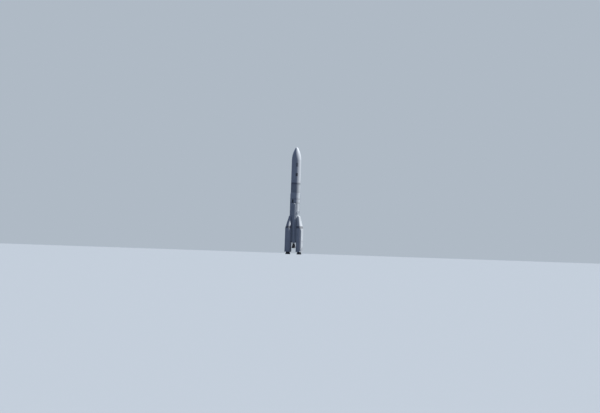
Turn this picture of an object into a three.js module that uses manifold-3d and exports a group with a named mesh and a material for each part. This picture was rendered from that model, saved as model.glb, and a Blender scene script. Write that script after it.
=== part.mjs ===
// Space rocket with four strap-on boosters: a half-size model of a vehicle that is 62 m tall.
// Units are millimetres of the model. +Z is up and the front faces -Y.
// The origin is the centre of the launch table's top, where the four booster skirts stand,
// so the booster nozzles reach below it.
import * as THREE from "three";
import { mergeVertices } from "three/addons/utils/BufferGeometryUtils.js";
import Module from "manifold-3d";

const wasm = await Module();
wasm.setup();

// Driving dimensions: full() takes metres of the full-size vehicle
const MODEL_SCALE = 1 / 2;
const full = (metres) => metres * 1000 * MODEL_SCALE;
const SEAT_GAP = 0.3; // between a piece and the curved wall that it is fastened to
const SLIDING_GAP = 5; // between a piece that moves and its neighbours
const CORE_SIDES = 48;
const BOOSTER_SIDES = 32;
const NOZZLE_SIDES = 24;
const PIN_SIDES = 16;

const CORE_R = full(2.7);
const BOOSTER_R = full(1.7);
const BOOSTER_RING_R = full(4.6); // from the core's axis to a booster's

// Levels of the core, from the launch table up
const CORE_BASE_Z = full(5.4);
const AFT_BAY_TOP_Z = full(8.2);
const LOWER_TANK_TOP_Z = full(21.4);
const INTERTANK_TOP_Z = full(23.6);
const UPPER_TANK_TOP_Z = full(28.4);
const FORWARD_SKIRT_TOP_Z = full(30.7);
const INTERSTAGE_TOP_Z = full(34.6);
const UPPER_STAGE_TOP_Z = full(39.4);
const FAIRING_RING_TOP_Z = full(40.2);
const TIP_Z = full(60.6);

// Levels of a booster
const NOZZLE_EXIT_Z = full(-1.4);
const SKIRT_TOP_Z = full(2.9);
const CASE_TOP_Z = full(13.7);
const NOSE_RING_TOP_Z = full(15.0);
const NOSE_TIP_Z = full(21.0);

const paint = (color, roughness, metalness = 0) =>
  new THREE.MeshStandardMaterial({ color, roughness, metalness });
const WHITE = paint(0xdfe2e6, 0.45);
const TANK_WHITE = paint(0xd3d6da, 0.5);
const BAND_GREY = paint(0x74767c, 0.6);
const METAL = paint(0x8d8f94, 0.4, 0.9);
const BELL_METAL = paint(0x5c5653, 0.4, 0.9);
const CARBON = paint(0x2c2b2b, 0.7);
const BLANKET = paint(0xb9b3a6, 0.8);

// Solids

// A closed geometry as a solid that can be joined and cut
function solidOf(geometry) {
  const bare = geometry.clone();
  bare.deleteAttribute("normal");
  bare.deleteAttribute("uv");
  const merged = mergeVertices(bare, 1e-3);
  const corners = merged.index.array;
  const kept = [];
  for (let i = 0; i < corners.length; i += 3) {
    const [a, b, c] = corners.slice(i, i + 3);
    if (a !== b && b !== c && a !== c) kept.push(a, b, c);
  }
  return new wasm.Manifold(
    new wasm.Mesh({
      numProp: 3,
      vertProperties: merged.attributes.position.array,
      triVerts: new Uint32Array(kept),
    }),
  );
}

function geometryOf(solid) {
  const { vertProperties, triVerts } = solid.getMesh();
  const geometry = new THREE.BufferGeometry();
  geometry.setAttribute("position", new THREE.BufferAttribute(vertProperties, 3));
  geometry.setIndex(new THREE.BufferAttribute(triVerts, 1));
  const flat = geometry.toNonIndexed();
  flat.computeVertexNormals();
  return flat;
}

// An outline of [radius, height] points, anticlockwise, turned about the Z axis
function revolve(outline, sides) {
  const points = outline.map(([radius, height]) => new THREE.Vector2(radius, height));
  const open = outline[0][0] > 0;
  if (open) points.push(points[0].clone());
  return new THREE.LatheGeometry(points, sides).rotateX(Math.PI / 2);
}

// A plain drum, closed at both ends
const drum = (radius, low, high, sides) =>
  revolve([[0, low], [radius, low], [radius, high], [0, high]], sides);

// A block between two corners
function block([x0, y0, z0], [x1, y1, z1]) {
  const box = new THREE.BoxGeometry(x1 - x0, y1 - y0, z1 - z0);
  return box.translate((x0 + x1) / 2, (y0 + y1) / 2, (z0 + z1) / 2);
}

// A round bar from one point to another
function bar(from, to, radius, sides = PIN_SIDES) {
  const a = new THREE.Vector3(...from);
  const b = new THREE.Vector3(...to);
  const along = b.clone().sub(a);
  const turn = new THREE.Quaternion().setFromUnitVectors(
    new THREE.Vector3(0, 1, 0),
    along.clone().normalize(),
  );
  const cylinder = new THREE.CylinderGeometry(radius, radius, along.length(), sides);
  const middle = a.add(b).divideScalar(2);
  return cylinder.applyQuaternion(turn).translate(middle.x, middle.y, middle.z);
}

const join = (...geometries) => wasm.Manifold.union(geometries.map(solidOf));

// What a fitting on a drum's wall is cut by, so that it lies on the drum's flat sides
const wallCutter = (radius, low, high, sides, turn = 0) =>
  solidOf(drum(radius + SEAT_GAP, low - 1, high + 1, sides).rotateZ(turn));

// A curved plate or duct on the outside of a drum. It spans the angles around `middle`, in
// degrees from +X, and `corner` cuts its outer corners. Its ends slope back by `slope`.
function wallPlate({
  innerR, outerR, low, high, middle = 0, halfAngle, step = halfAngle, corner = 0, slope = 0,
}) {
  const at = (radius, degrees) => {
    const angle = THREE.MathUtils.degToRad(middle + degrees);
    return new THREE.Vector2(radius * Math.cos(angle), radius * Math.sin(angle));
  };
  const inner = [];
  for (let a = -halfAngle; a <= halfAngle + 1e-6; a += step) inner.push(at(innerR, a));
  const end = halfAngle - THREE.MathUtils.radToDeg(corner / outerR);
  const outer = [];
  if (corner > 0) outer.push(at(outerR - corner, halfAngle));
  outer.push(at(outerR, end));
  for (let a = halfAngle - step; a > -end + 1e-6; a -= step) {
    if (a < end - 1e-6) outer.push(at(outerR, a));
  }
  outer.push(at(outerR, -end));
  if (corner > 0) outer.push(at(outerR - corner, -halfAngle));
  const shape = new THREE.Shape([...inner, ...outer]);
  const plate = new THREE.ExtrudeGeometry(shape, { depth: high - low, bevelEnabled: false });
  plate.translate(0, 0, low);
  const place = plate.attributes.position;
  for (let i = 0; i < place.count; i++) {
    const proud = Math.hypot(place.getX(i), place.getY(i)) - innerR;
    const back = (slope * proud) / (outerR - innerR);
    place.setZ(i, place.getZ(i) > (low + high) / 2 ? high - back : low + back);
  }
  return plate;
}

const rocket = new THREE.Group();

function add(name, shape, material, parent = rocket) {
  const geometry = shape.isBufferGeometry ? shape : geometryOf(shape);
  const mesh = new THREE.Mesh(geometry, material);
  mesh.name = name;
  parent.add(mesh);
  return mesh;
}

// Core: the drums of both stages, stacked face to face
const coreDrums = [
  // name, bottom, top, material
  ["lower_tank", AFT_BAY_TOP_Z, LOWER_TANK_TOP_Z, TANK_WHITE],
  ["intertank", LOWER_TANK_TOP_Z, INTERTANK_TOP_Z, WHITE],
  ["upper_tank", INTERTANK_TOP_Z, UPPER_TANK_TOP_Z, TANK_WHITE],
  ["forward_skirt", UPPER_TANK_TOP_Z, FORWARD_SKIRT_TOP_Z, WHITE],
  ["interstage", FORWARD_SKIRT_TOP_Z, INTERSTAGE_TOP_Z, WHITE],
  ["upper_stage_tank", INTERSTAGE_TOP_Z, UPPER_STAGE_TOP_Z, TANK_WHITE],
  ["fairing_ring", UPPER_STAGE_TOP_Z, FAIRING_RING_TOP_Z, BAND_GREY],
];
for (const [name, low, high, material] of coreDrums) {
  add(name, drum(CORE_R, low, high, CORE_SIDES), material);
}

// Engine bay: a ring wall around the engine, with a thrust cone that carries the gimbal
const BAY_WALL = 60;
const BAY_ROOF_Z = CORE_BASE_Z + 850;
const THRUST_CONE_Z = CORE_BASE_Z + 435;
const THRUST_CONE_TIP_R = 150;
const THRUST_CONE_ROOT_R = 420;
const ENGINE_PIVOT_Z = CORE_BASE_Z + 350;
const bay = revolve(
  [
    [0, THRUST_CONE_Z],
    [THRUST_CONE_TIP_R, THRUST_CONE_Z],
    [THRUST_CONE_ROOT_R, BAY_ROOF_Z],
    [CORE_R - BAY_WALL, BAY_ROOF_Z],
    [CORE_R - BAY_WALL, CORE_BASE_Z],
    [CORE_R, CORE_BASE_Z],
    [CORE_R, AFT_BAY_TOP_Z],
    [0, AFT_BAY_TOP_Z],
  ],
  CORE_SIDES,
);

// Gimbal of the engine: a cross on two pairs of pins, held by ears above and below it
const CROSS_HALF = 45;
const PIN_R = 28;
const PIN_HALF = 125;
const PIN_PLAY = 0.4;
const holeR = (pinR) => (pinR + PIN_PLAY) / Math.cos(Math.PI / PIN_SIDES);
const EAR_IN = 80;
const EAR_OUT = 120;
const EAR_HALF_WIDTH = 50;
const EAR_BELOW_PIN = 45;
const EAR_ABOVE_PIN = 40;
const ENGINE_TOP_Z = ENGINE_PIVOT_Z - 120;
const EAR_ROOT = 30; // how deep an ear is rooted in what carries it

const pinAlong = (axis, z, half, radius) =>
  axis === "x"
    ? bar([-half, 0, z], [half, 0, z], radius)
    : bar([0, -half, z], [0, half, z], radius);

const bayEars = [-1, 1].map((side) =>
  block(
    [Math.min(side * EAR_IN, side * EAR_OUT), -EAR_HALF_WIDTH, ENGINE_PIVOT_Z - EAR_BELOW_PIN],
    [Math.max(side * EAR_IN, side * EAR_OUT), EAR_HALF_WIDTH, THRUST_CONE_Z + EAR_ROOT],
  ),
);
const engineEars = [-1, 1].map((side) =>
  block(
    [-EAR_HALF_WIDTH, Math.min(side * EAR_IN, side * EAR_OUT), ENGINE_TOP_Z - EAR_ROOT],
    [EAR_HALF_WIDTH, Math.max(side * EAR_IN, side * EAR_OUT), ENGINE_PIVOT_Z + EAR_ABOVE_PIN],
  ),
);
const pinHole = (axis) =>
  solidOf(pinAlong(axis, ENGINE_PIVOT_Z, EAR_OUT + EAR_ROOT, holeR(PIN_R)));
add("aft_bay", join(bay, ...bayEars).subtract(pinHole("x")), WHITE);
add(
  "engine_gimbal_cross",
  join(
    block(
      [-CROSS_HALF, -CROSS_HALF, ENGINE_PIVOT_Z - CROSS_HALF],
      [CROSS_HALF, CROSS_HALF, ENGINE_PIVOT_Z + CROSS_HALF],
    ),
    pinAlong("x", ENGINE_PIVOT_Z, PIN_HALF, PIN_R),
    pinAlong("y", ENGINE_PIVOT_Z, PIN_HALF, PIN_R),
  ),
  METAL,
);

// Heat shield across the engine bay, open around the engine
const SHIELD_HOLE_R = 620;
const SHIELD_Z = CORE_BASE_Z + 20;
const SHIELD_THICK = 40;
const shieldR = CORE_R - BAY_WALL - SEAT_GAP;
add(
  "base_heat_shield",
  revolve(
    [
      [SHIELD_HOLE_R, SHIELD_Z],
      [shieldR, SHIELD_Z],
      [shieldR, SHIELD_Z + SHIELD_THICK],
      [SHIELD_HOLE_R, SHIELD_Z + SHIELD_THICK],
    ],
    CORE_SIDES,
  ),
  BLANKET,
);

// Engine: chamber with two pumps, and the bell with its gas manifold
const CHAMBER_LOW_Z = ENGINE_PIVOT_Z - 550;
const CHAMBER_R = 140;
const DOME_R = 175;
const THROAT_R = 95;
const PUMP_X = 310;
const PUMP_R = 110;
const PUMP_TOP_Z = ENGINE_PIVOT_Z - 160;
const PUMP_LOW_Z = ENGINE_PIVOT_Z - 650;
const PUMP_BRACKET_HALF = 60;
const chamber = revolve(
  [
    [0, CHAMBER_LOW_Z],
    [THROAT_R, CHAMBER_LOW_Z],
    [CHAMBER_R, CHAMBER_LOW_Z + 110],
    [CHAMBER_R, ENGINE_TOP_Z - 120],
    [DOME_R, ENGINE_TOP_Z - 90],
    [DOME_R, ENGINE_TOP_Z],
    [0, ENGINE_TOP_Z],
  ],
  NOZZLE_SIDES,
);
const pumps = [-1, 1].map((side) =>
  bar([side * PUMP_X, 0, PUMP_LOW_Z], [side * PUMP_X, 0, PUMP_TOP_Z], PUMP_R, 16),
);
const pumpBracket = block(
  [-PUMP_X, -PUMP_BRACKET_HALF, PUMP_TOP_Z - 200],
  [PUMP_X, PUMP_BRACKET_HALF, PUMP_TOP_Z - 90],
);
add(
  "engine_chamber",
  join(chamber, ...pumps, pumpBracket, ...engineEars).subtract(pinHole("y")),
  METAL,
);

const ENGINE_EXIT_Z = full(2.2);
const ENGINE_WALL = 20;
const ENGINE_BELL_HEIGHT = 1280;
const ENGINE_BELL_STEPS = 8;
const MANIFOLD_Z = ENGINE_EXIT_Z + 960; // its top
const MANIFOLD_RING_R = 405;
const MANIFOLD_TUBE_R = 50;
const MANIFOLD_ANGLES = [-100, -50, 0, 50, 100]; // around the tube, from its outer side

// Radius outside, at a height above the exit
function engineBellR(height) {
  const share = height / ENGINE_BELL_HEIGHT;
  return 550 - 100 * share - 260 * share ** 2.6;
}
const engineBell = [];
for (let i = 0; i <= ENGINE_BELL_STEPS; i++) {
  const height = (ENGINE_BELL_HEIGHT * i) / ENGINE_BELL_STEPS;
  engineBell.push([engineBellR(height), ENGINE_EXIT_Z + height]);
}
const bellInside = engineBell.map(([r, z]) => [r - ENGINE_WALL, z]).reverse();
const manifoldMiddle = MANIFOLD_Z - MANIFOLD_TUBE_R;
const bellOutside = [
  ...engineBell.filter(([, z]) => z < manifoldMiddle - MANIFOLD_TUBE_R),
  ...MANIFOLD_ANGLES.map((degrees) => {
    const angle = THREE.MathUtils.degToRad(degrees);
    return [
      MANIFOLD_RING_R + MANIFOLD_TUBE_R * Math.cos(angle),
      manifoldMiddle + MANIFOLD_TUBE_R * Math.sin(angle),
    ];
  }),
  ...engineBell.filter(([, z]) => z > MANIFOLD_Z),
];
const bell = revolve(
  [
    [0, CHAMBER_LOW_Z - 60],
    ...bellInside,
    ...bellOutside,
    [THROAT_R, CHAMBER_LOW_Z - 20],
    [THROAT_R, CHAMBER_LOW_Z],
    [0, CHAMBER_LOW_Z],
  ],
  NOZZLE_SIDES,
);

// Gas ducts from the pumps down to the manifold
const DUCT_R = 46;
const DUCT_BEND = 60;
const DUCT_ROOT = 20;
const PUMP_DUCT_X = 330;
const MANIFOLD_DUCT_X = 403;
const ducts = [-1, 1].map((side) => {
  const path = new THREE.CatmullRomCurve3([
    new THREE.Vector3(side * PUMP_DUCT_X, 0, PUMP_LOW_Z - SEAT_GAP),
    new THREE.Vector3(side * PUMP_DUCT_X, 0, PUMP_LOW_Z - DUCT_BEND),
    new THREE.Vector3(side * MANIFOLD_DUCT_X, 0, MANIFOLD_Z + DUCT_BEND),
    new THREE.Vector3(side * MANIFOLD_DUCT_X, 0, MANIFOLD_Z - DUCT_ROOT),
  ]);
  const section = new THREE.Shape();
  section.absarc(0, 0, DUCT_R, 0, Math.PI * 2);
  return new THREE.ExtrudeGeometry(section, { steps: 4, curveSegments: 4, extrudePath: path });
});
add("engine_nozzle", join(bell, ...ducts), BELL_METAL);

// Ducts on the core's wall: two wide covers over feed lines, and two narrow ones over cables
const WALL_ROOT = 30; // a fitting is drawn from this far inside the wall, then cut by it
const DUCT_LOW_Z = AFT_BAY_TOP_Z - full(1.2);
const CABLE_DUCT_TOP_Z = INTERSTAGE_TOP_Z - full(0.6);
const wallFittings = [
  // name, angle from +X, half its angle, height off the wall, bottom, top, slope of its ends
  ["feed_line_cover_front", -90, 9, 190, DUCT_LOW_Z, UPPER_TANK_TOP_Z, 260],
  ["feed_line_cover_back", 90, 9, 190, DUCT_LOW_Z, UPPER_TANK_TOP_Z, 260],
  ["cable_duct_right", 0, 4.5, 90, DUCT_LOW_Z, CABLE_DUCT_TOP_Z, 120],
  ["cable_duct_left", 180, 4.5, 90, DUCT_LOW_Z, CABLE_DUCT_TOP_Z, 120],
  ["umbilical_plate_lower", -116, 7, 45, full(28.7), full(30.2), 15],
  ["umbilical_plate_upper", 64, 7, 45, full(35.3), full(36.6), 15],
];
for (const [name, middle, halfAngle, height, low, high, slope] of wallFittings) {
  const fitting = wallPlate({
    innerR: CORE_R - WALL_ROOT, outerR: CORE_R + height, low, high, middle, halfAngle,
    corner: height / 3, slope,
  });
  add(name, solidOf(fitting).subtract(wallCutter(CORE_R, low, high, CORE_SIDES)), WHITE);
}

// Payload adapter: a cone on the fairing ring, with a flat ring for the payload on top
const ADAPTER_BASE_R = full(2.2);
const ADAPTER_TOP_R = full(0.89);
const ADAPTER_TOP_Z = FAIRING_RING_TOP_Z + full(1.5);
const ADAPTER_FLANGE = 60;
add(
  "payload_adapter",
  revolve(
    [
      [0, FAIRING_RING_TOP_Z],
      [ADAPTER_BASE_R, FAIRING_RING_TOP_Z],
      [ADAPTER_BASE_R, FAIRING_RING_TOP_Z + ADAPTER_FLANGE],
      [ADAPTER_TOP_R, ADAPTER_TOP_Z - ADAPTER_FLANGE],
      [ADAPTER_TOP_R, ADAPTER_TOP_Z],
      [0, ADAPTER_TOP_Z],
    ],
    CORE_SIDES,
  ),
  CARBON,
);

// Fairing: two half shells around the payload, split in the plane X = 0. The nose is an ogive
// that meets the straight wall without a corner, under a round cap that meets the ogive so.
const FAIRING_WALL = 30;
const OGIVE_LENGTH = full(8.2); // from its foot to where its sides would meet
const CAP_BELOW = full(1.2); // the cap's edge, below where they would meet
const FAIRING_LOW_Z = FAIRING_RING_TOP_Z + SLIDING_GAP;
const ogiveR = (CORE_R ** 2 + OGIVE_LENGTH ** 2) / (2 * CORE_R);
const capAngle = Math.asin((OGIVE_LENGTH - CAP_BELOW) / ogiveR); // up from level, at its edge
const capEdgeR = ogiveR * Math.cos(capAngle) + CORE_R - ogiveR;
const capR = capEdgeR / Math.cos(capAngle);
const ogiveFootZ = TIP_Z - capR + capR * Math.sin(capAngle) - (OGIVE_LENGTH - CAP_BELOW);

// Outline of the nose from its top down, `inset` inside the outer skin
function noseOutline(inset, capSteps, ogiveSteps) {
  const arcs = [
    // centre's distance from the axis, its height, radius, angles up from level, steps
    [0, TIP_Z - capR, capR - inset, Math.PI / 2, capAngle, capSteps],
    [CORE_R - ogiveR, ogiveFootZ, ogiveR - inset, capAngle, 0, ogiveSteps],
  ];
  const outline = [[0, TIP_Z - inset]];
  for (const [centreR, centreZ, radius, from, to, steps] of arcs) {
    for (let i = 1; i <= steps; i++) {
      const angle = from + ((to - from) * i) / steps;
      outline.push([centreR + radius * Math.cos(angle), centreZ + radius * Math.sin(angle)]);
    }
  }
  return outline;
}
const shell = revolve(
  [
    ...noseOutline(FAIRING_WALL, 2, 5),
    [CORE_R - FAIRING_WALL, FAIRING_LOW_Z],
    [CORE_R, FAIRING_LOW_Z],
    ...noseOutline(0, 3, 7).reverse(),
  ],
  CORE_SIDES,
);
const FOOT_ANGLES = [-45, 0, 45];
const FOOT_HALF_ANGLE = 4.5;
const FOOT_INSET = 6; // from both skins of the shell
const FOOT_ROOT = 20;
const fairingHalves = [
  // name, side along X, angle of its middle
  ["fairing_half_right", 1, 0],
  ["fairing_half_left", -1, 180],
];
for (const [name, side, middle] of fairingHalves) {
  const near = (side * SLIDING_GAP) / 2;
  const far = side * CORE_R * 1.2;
  const cutter = block(
    [Math.min(near, far), -CORE_R * 1.2, FAIRING_LOW_Z - 1],
    [Math.max(near, far), CORE_R * 1.2, TIP_Z + 1],
  );
  const half = solidOf(shell).intersect(solidOf(cutter));
  const feet = FOOT_ANGLES.map((angle) =>
    wallPlate({
      innerR: CORE_R - FAIRING_WALL + FOOT_INSET,
      outerR: CORE_R - FOOT_INSET,
      low: FAIRING_RING_TOP_Z + SEAT_GAP,
      high: FAIRING_LOW_Z + FOOT_ROOT,
      middle: middle + angle,
      halfAngle: FOOT_HALF_ANGLE,
    }),
  );
  add(name, wasm.Manifold.union([half, ...feet.map(solidOf)]), WHITE);
}

// Booster: drawn on its own axis with the core towards -X, then placed four times
const BOOSTER_PIVOT_Z = full(1.3);
const SKIRT_WALL = 40;
const SKIRT_FLOOR = 45;
const SKIRT_HOLE_R = 565;
const RING_OUT_R = 300;
const RING_IN_R = 255;
const RING_HALF = 45;
const RING_EAR_IN = 312;
const RING_EAR_OUT = 342;
const RING_PIN_R = 22;
const RING_PIN_END = 345;
const BELT_Z = full(6.2); // attachment belt around the motor case
const BELT_HALF = 60;
const BELT_R = BOOSTER_R + 30;

function boosterCase() {
  const body = revolve(
    [
      [0, BOOSTER_PIVOT_Z + 115],
      [250, BOOSTER_PIVOT_Z + 115],
      [700, SKIRT_TOP_Z - 310],
      [BOOSTER_R - SKIRT_WALL - 8, SKIRT_TOP_Z],
      [BOOSTER_R, SKIRT_TOP_Z],
      [BOOSTER_R, BELT_Z - BELT_HALF],
      [BELT_R, BELT_Z - BELT_HALF],
      [BELT_R, BELT_Z + BELT_HALF],
      [BOOSTER_R, BELT_Z + BELT_HALF],
      [BOOSTER_R, CASE_TOP_Z],
      [0, CASE_TOP_Z],
    ],
    BOOSTER_SIDES,
  );
  const ears = [-1, 1].map((side) =>
    block(
      [Math.min(side * RING_EAR_IN, side * RING_EAR_OUT), -RING_HALF, BOOSTER_PIVOT_Z - 40],
      [Math.max(side * RING_EAR_IN, side * RING_EAR_OUT), RING_HALF, BOOSTER_PIVOT_Z + 300],
    ),
  );
  const hole = pinAlong("x", BOOSTER_PIVOT_Z, RING_EAR_OUT + EAR_ROOT, holeR(RING_PIN_R));
  return join(body, ...ears).subtract(solidOf(hole));
}

// The skirt stands on its rim and on four hold-down feet around it
const HOLD_DOWN_ANGLES = [-60, -20, 20, 60];
const HOLD_DOWN = { halfAngle: 5, height: 230, proud: 55, slope: 150 };
function boosterSkirt() {
  const wall = revolve(
    [
      [SKIRT_HOLE_R, 0],
      [BOOSTER_R, 0],
      [BOOSTER_R, SKIRT_TOP_Z],
      [BOOSTER_R - SKIRT_WALL, SKIRT_TOP_Z],
      [BOOSTER_R - SKIRT_WALL, SKIRT_FLOOR],
      [SKIRT_HOLE_R, SKIRT_FLOOR],
    ],
    BOOSTER_SIDES,
  );
  const feet = HOLD_DOWN_ANGLES.map((middle) => {
    const foot = wallPlate({
      innerR: BOOSTER_R - SKIRT_WALL / 2, outerR: BOOSTER_R + HOLD_DOWN.proud,
      low: -HOLD_DOWN.height, high: HOLD_DOWN.height,
      middle, halfAngle: HOLD_DOWN.halfAngle, slope: HOLD_DOWN.slope,
    });
    return solidOf(foot).subtract(
      solidOf(drum(BOOSTER_R * 2, -2 * HOLD_DOWN.height, 0, BOOSTER_SIDES)),
    );
  });
  return wasm.Manifold.union([solidOf(wall), ...feet]);
}

// Ring around the throat: its X pins turn in the case, and its Y pins carry the nozzle
function gimbalRing() {
  const ring = solidOf(
    revolve(
      [
        [RING_IN_R, BOOSTER_PIVOT_Z - RING_HALF],
        [RING_OUT_R, BOOSTER_PIVOT_Z - RING_HALF],
        [RING_OUT_R, BOOSTER_PIVOT_Z + RING_HALF],
        [RING_IN_R, BOOSTER_PIVOT_Z + RING_HALF],
      ],
      16,
    ),
  );
  const pins = [];
  for (const side of [-1, 1]) {
    const near = side * (RING_IN_R + 15);
    const far = side * RING_PIN_END;
    pins.push(bar([near, 0, BOOSTER_PIVOT_Z], [far, 0, BOOSTER_PIVOT_Z], RING_PIN_R));
    pins.push(bar([0, near, BOOSTER_PIVOT_Z], [0, far, BOOSTER_PIVOT_Z], RING_PIN_R));
  }
  return wasm.Manifold.union([ring, ...pins.map(solidOf)]);
}

const BELL_WALL = 28;
const BOOSTER_BELL_HEIGHT = 1130;
const BOOSTER_BELL_STEPS = 7;
const boosterBell = []; // radius outside, height above the exit
for (let i = 0; i <= BOOSTER_BELL_STEPS; i++) {
  const share = i / BOOSTER_BELL_STEPS;
  boosterBell.push([560 - 180 * share - 165 * share ** 2, BOOSTER_BELL_HEIGHT * share]);
}
const COLLAR_R = 345;
function boosterNozzle() {
  const outside = boosterBell.map(([r, h]) => [r, NOZZLE_EXIT_Z + h]);
  const inside = boosterBell.map(([r, h]) => [r - BELL_WALL, NOZZLE_EXIT_Z + h]).reverse();
  const bell = revolve(
    [
      [0, BOOSTER_PIVOT_Z - 190],
      ...inside,
      ...outside,
      [COLLAR_R, BOOSTER_PIVOT_Z - 170],
      [COLLAR_R, BOOSTER_PIVOT_Z - 135],
      [180, BOOSTER_PIVOT_Z - 120],
      [180, BOOSTER_PIVOT_Z + 60],
      [0, BOOSTER_PIVOT_Z + 70],
    ],
    NOZZLE_SIDES,
  );
  const ears = [-1, 1].map((side) =>
    block(
      [-RING_HALF, Math.min(side * RING_EAR_IN, side * RING_EAR_OUT), BOOSTER_PIVOT_Z - 150],
      [RING_HALF, Math.max(side * RING_EAR_IN, side * RING_EAR_OUT), BOOSTER_PIVOT_Z + 40],
    ),
  );
  const hole = pinAlong("y", BOOSTER_PIVOT_Z, RING_EAR_OUT + EAR_ROOT, holeR(RING_PIN_R));
  return join(bell, ...ears).subtract(solidOf(hole));
}

// Nose cone with a round top, leaning towards the core: level sections, each shifted inwards
const NOSE_LEAN = full(1.16);
const NOSE_TOP_R = full(0.65);
const NOSE_TOP_STEPS = 4;
const noseHeight = NOSE_TIP_Z - CASE_TOP_Z;
const ringHeight = NOSE_RING_TOP_Z - CASE_TOP_Z;
const topCentre = noseHeight - NOSE_TOP_R; // of the round top, above the motor case
// From upright to the cone's side, which the round top continues without a kink
const noseAngle =
  Math.acos(NOSE_TOP_R / Math.hypot(BOOSTER_R, topCentre)) - Math.atan2(topCentre, BOOSTER_R);
const coneR = (height) => BOOSTER_R - height * Math.tan(noseAngle);
function leaning(sections) {
  const shape = revolve(sections, BOOSTER_SIDES);
  const place = shape.attributes.position;
  for (let i = 0; i < place.count; i++) {
    place.setX(i, place.getX(i) - (NOSE_LEAN * place.getZ(i)) / noseHeight);
  }
  return shape.translate(0, 0, CASE_TOP_Z);
}
const boosterNoseRing = () =>
  leaning([[0, 0], [coneR(0), 0], [coneR(ringHeight), ringHeight], [0, ringHeight]]);
function boosterNose() {
  const roundTop = Array.from({ length: NOSE_TOP_STEPS }, (_, i) => {
    const angle = noseAngle + ((Math.PI / 2 - noseAngle) * i) / NOSE_TOP_STEPS;
    return [NOSE_TOP_R * Math.cos(angle), topCentre + NOSE_TOP_R * Math.sin(angle)];
  });
  return leaning([
    [0, ringHeight], [coneR(ringHeight), ringHeight], ...roundTop, [0, noseHeight],
  ]);
}

// Attachments to the core, drawn in the booster's frame: a curved plate on the core's wall
// and what reaches from it to the booster's
const PLATE_THICK = 25;
const BOOSTER_TURN = Math.PI / 4; // the nearest turn of a booster about the core
const toCore = (geometry) => geometry.translate(-BOOSTER_RING_R, 0, 0);

function attachment(boosterWallR, halfAngle, step, middle, half, reaches) {
  const low = middle - half;
  const high = middle + half;
  const plate = wallPlate({
    innerR: CORE_R - WALL_ROOT, outerR: CORE_R + PLATE_THICK, low, high, halfAngle, step,
  });
  const core = drum(CORE_R + SEAT_GAP, low - 1, high + 1, CORE_SIDES).rotateZ(BOOSTER_TURN);
  return join(...[plate, ...reaches].map(toCore))
    .subtract(solidOf(toCore(core)))
    .subtract(wallCutter(boosterWallR, low, high, BOOSTER_SIDES));
}

const FORWARD_JOINT_Z = full(12.9);
const FORWARD_PLATE_HALF = 170;
const FORWARD_ARM_HALF = [70, 80]; // across and upwards
function forwardAttachment() {
  const [across, up] = FORWARD_ARM_HALF;
  const arm = block(
    [CORE_R + 10, -across, FORWARD_JOINT_Z - up],
    [BOOSTER_RING_R - BOOSTER_R + WALL_ROOT, across, FORWARD_JOINT_Z + up],
  );
  return attachment(BOOSTER_R, 9, 9, FORWARD_JOINT_Z, FORWARD_PLATE_HALF, [arm]);
}

const AFT_PLATE_HALF = 90;
const AFT_ARM_HALF = [60, 50];
const STRUT_R = 32;
const STRUT_CORE_ANGLE = THREE.MathUtils.degToRad(22);
const STRUT_CASE_ANGLE = THREE.MathUtils.degToRad(45);
function aftAttachment() {
  const [across, up] = AFT_ARM_HALF;
  const arm = block(
    [CORE_R + 10, -across, BELT_Z - up],
    [BOOSTER_RING_R - BELT_R + WALL_ROOT, across, BELT_Z + up],
  );
  const coreEnd = CORE_R;
  const caseEnd = BELT_R - 10;
  const struts = [-1, 1].map((side) =>
    bar(
      [
        coreEnd * Math.cos(STRUT_CORE_ANGLE),
        side * coreEnd * Math.sin(STRUT_CORE_ANGLE),
        BELT_Z,
      ],
      [
        BOOSTER_RING_R - caseEnd * Math.cos(STRUT_CASE_ANGLE),
        side * caseEnd * Math.sin(STRUT_CASE_ANGLE),
        BELT_Z,
      ],
      STRUT_R,
    ),
  );
  return attachment(BELT_R, 27, 9, BELT_Z, AFT_PLATE_HALF, [arm, ...struts]);
}

const BOOSTER_DUCT_HEIGHT = 70;
const BOOSTER_DUCT_SLOPE = 90;
const BOOSTER_DUCT_LOW_Z = full(0.9);
const BOOSTER_DUCT_TOP_Z = CASE_TOP_Z - full(0.3);
function boosterDuct() {
  const [low, high] = [BOOSTER_DUCT_LOW_Z, BOOSTER_DUCT_TOP_Z];
  const duct = wallPlate({
    innerR: BOOSTER_R - WALL_ROOT, outerR: BOOSTER_R + BOOSTER_DUCT_HEIGHT, low, high,
    halfAngle: 7, corner: BOOSTER_DUCT_HEIGHT / 3, slope: BOOSTER_DUCT_SLOPE,
  });
  return solidOf(duct)
    .subtract(wallCutter(BOOSTER_R, low, high, BOOSTER_SIDES))
    .subtract(wallCutter(BELT_R, BELT_Z - BELT_HALF, BELT_Z + BELT_HALF, BOOSTER_SIDES));
}

const boosterPieces = [
  // name, shape, material
  ["nose", boosterNose(), WHITE],
  ["nose_ring", boosterNoseRing(), BAND_GREY],
  ["motor_case", boosterCase(), WHITE],
  ["aft_skirt", boosterSkirt(), WHITE],
  ["gimbal_ring", gimbalRing(), METAL],
  ["nozzle", boosterNozzle(), CARBON],
  ["cable_duct", boosterDuct(), WHITE],
  ["forward_attachment", forwardAttachment(), METAL],
  ["aft_attachment", aftAttachment(), METAL],
];
const boosterAngles = [-135, -45, 45, 135]; // of boosters 1 to 4, from +X
boosterAngles.forEach((degrees, i) => {
  const booster = new THREE.Group();
  const angle = THREE.MathUtils.degToRad(degrees);
  booster.position.set(BOOSTER_RING_R * Math.cos(angle), BOOSTER_RING_R * Math.sin(angle), 0);
  booster.rotation.z = angle;
  for (const [name, shape, material] of boosterPieces) {
    add(`booster_${i + 1}_${name}`, shape, material, booster);
  }
  rocket.add(booster);
});

export default rocket;
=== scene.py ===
import math
from collections import namedtuple
from math import cos, pi, radians, sin

import bmesh
import bpy
from mathutils import Matrix, Vector


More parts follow.
